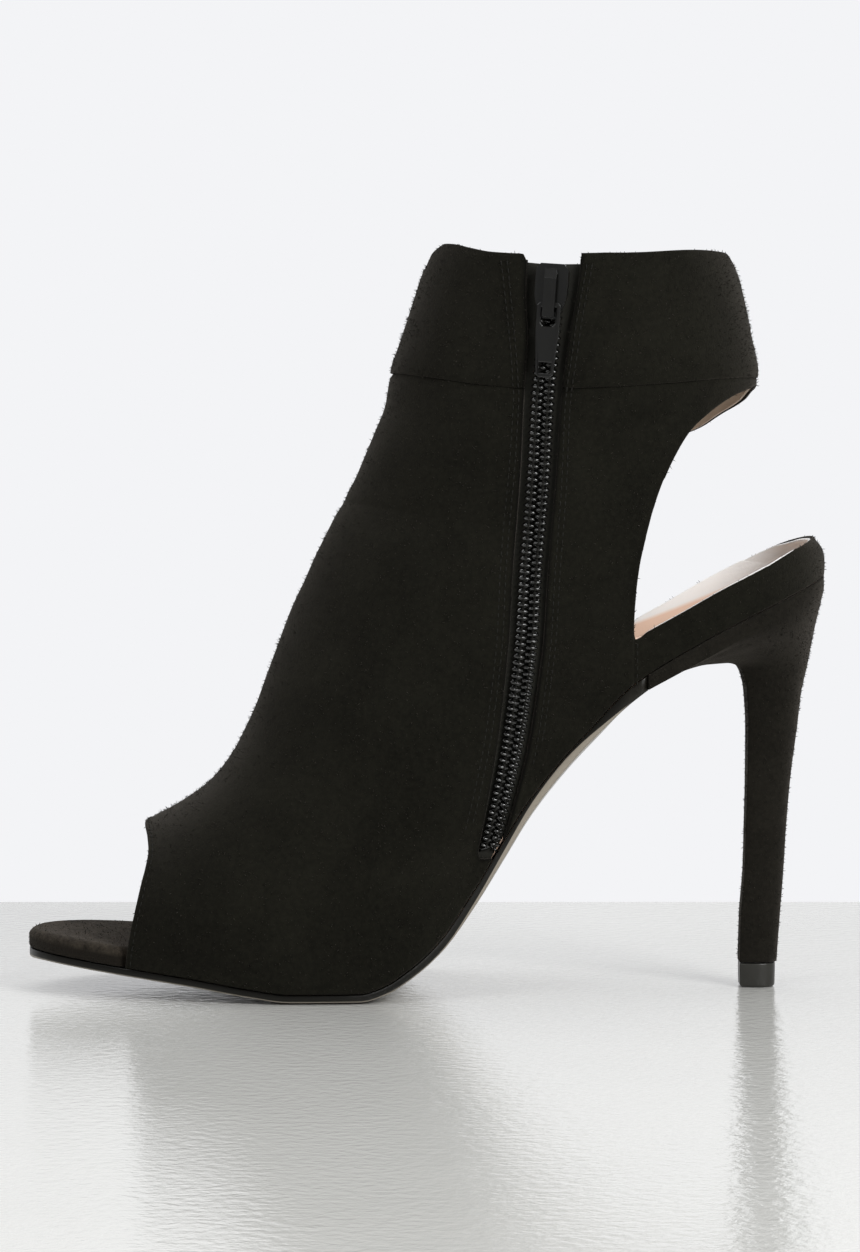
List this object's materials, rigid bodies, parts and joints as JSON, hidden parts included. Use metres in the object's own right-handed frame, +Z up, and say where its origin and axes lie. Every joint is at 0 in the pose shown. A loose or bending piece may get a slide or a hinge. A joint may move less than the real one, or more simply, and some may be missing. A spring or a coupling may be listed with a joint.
{
  "type": "peep-toe stiletto ankle boot",
  "caption": "Right black suede peep-toe stiletto ankle boot with an open heel, a cuff band and an inner-side zip with a swinging pull tab.",
  "frame": {"origin": "centre of the bounding box on the floor, under the shoe", "axes": "+X runs from the toe to the heel, +Y to the outer (lateral) side of the foot, +Z up"},
  "size_m": [0.201, 0.0795, 0.1874],
  "materials": {
    "suede": "napped",
    "cuff_suede": "napped",
    "insole_board": "napped",
    "sole_unit": "satin",
    "heel_cover": "napped",
    "tip_plastic": "satin",
    "zip_cloth": "woven",
    "zip_coil": "satin",
    "zip_metal": "satin",
    "pull_metal": "satin"
  },
  "bodies": {
    "shoe": {"upper": "suede", "cuff": "cuff_suede", "insole": "insole_board", "outsole": "sole_unit", "heel": "heel_cover", "heel_tip": "tip_plastic", "zip_tape": "zip_cloth", "zip_chain": "zip_coil", "zip_slider": "zip_metal"},
    "pull": {"pull_tab": "pull_metal"}
  },
  "joints": [
    {"name": "pull_tab_swing", "type": "hinge", "parent": "shoe", "child": "pull", "pos_m": [0.02998, -0.03355, 0.17151], "axis": [-0.9865, 0.1482, 0.0694], "range_deg": [0, 140]}
  ]
}
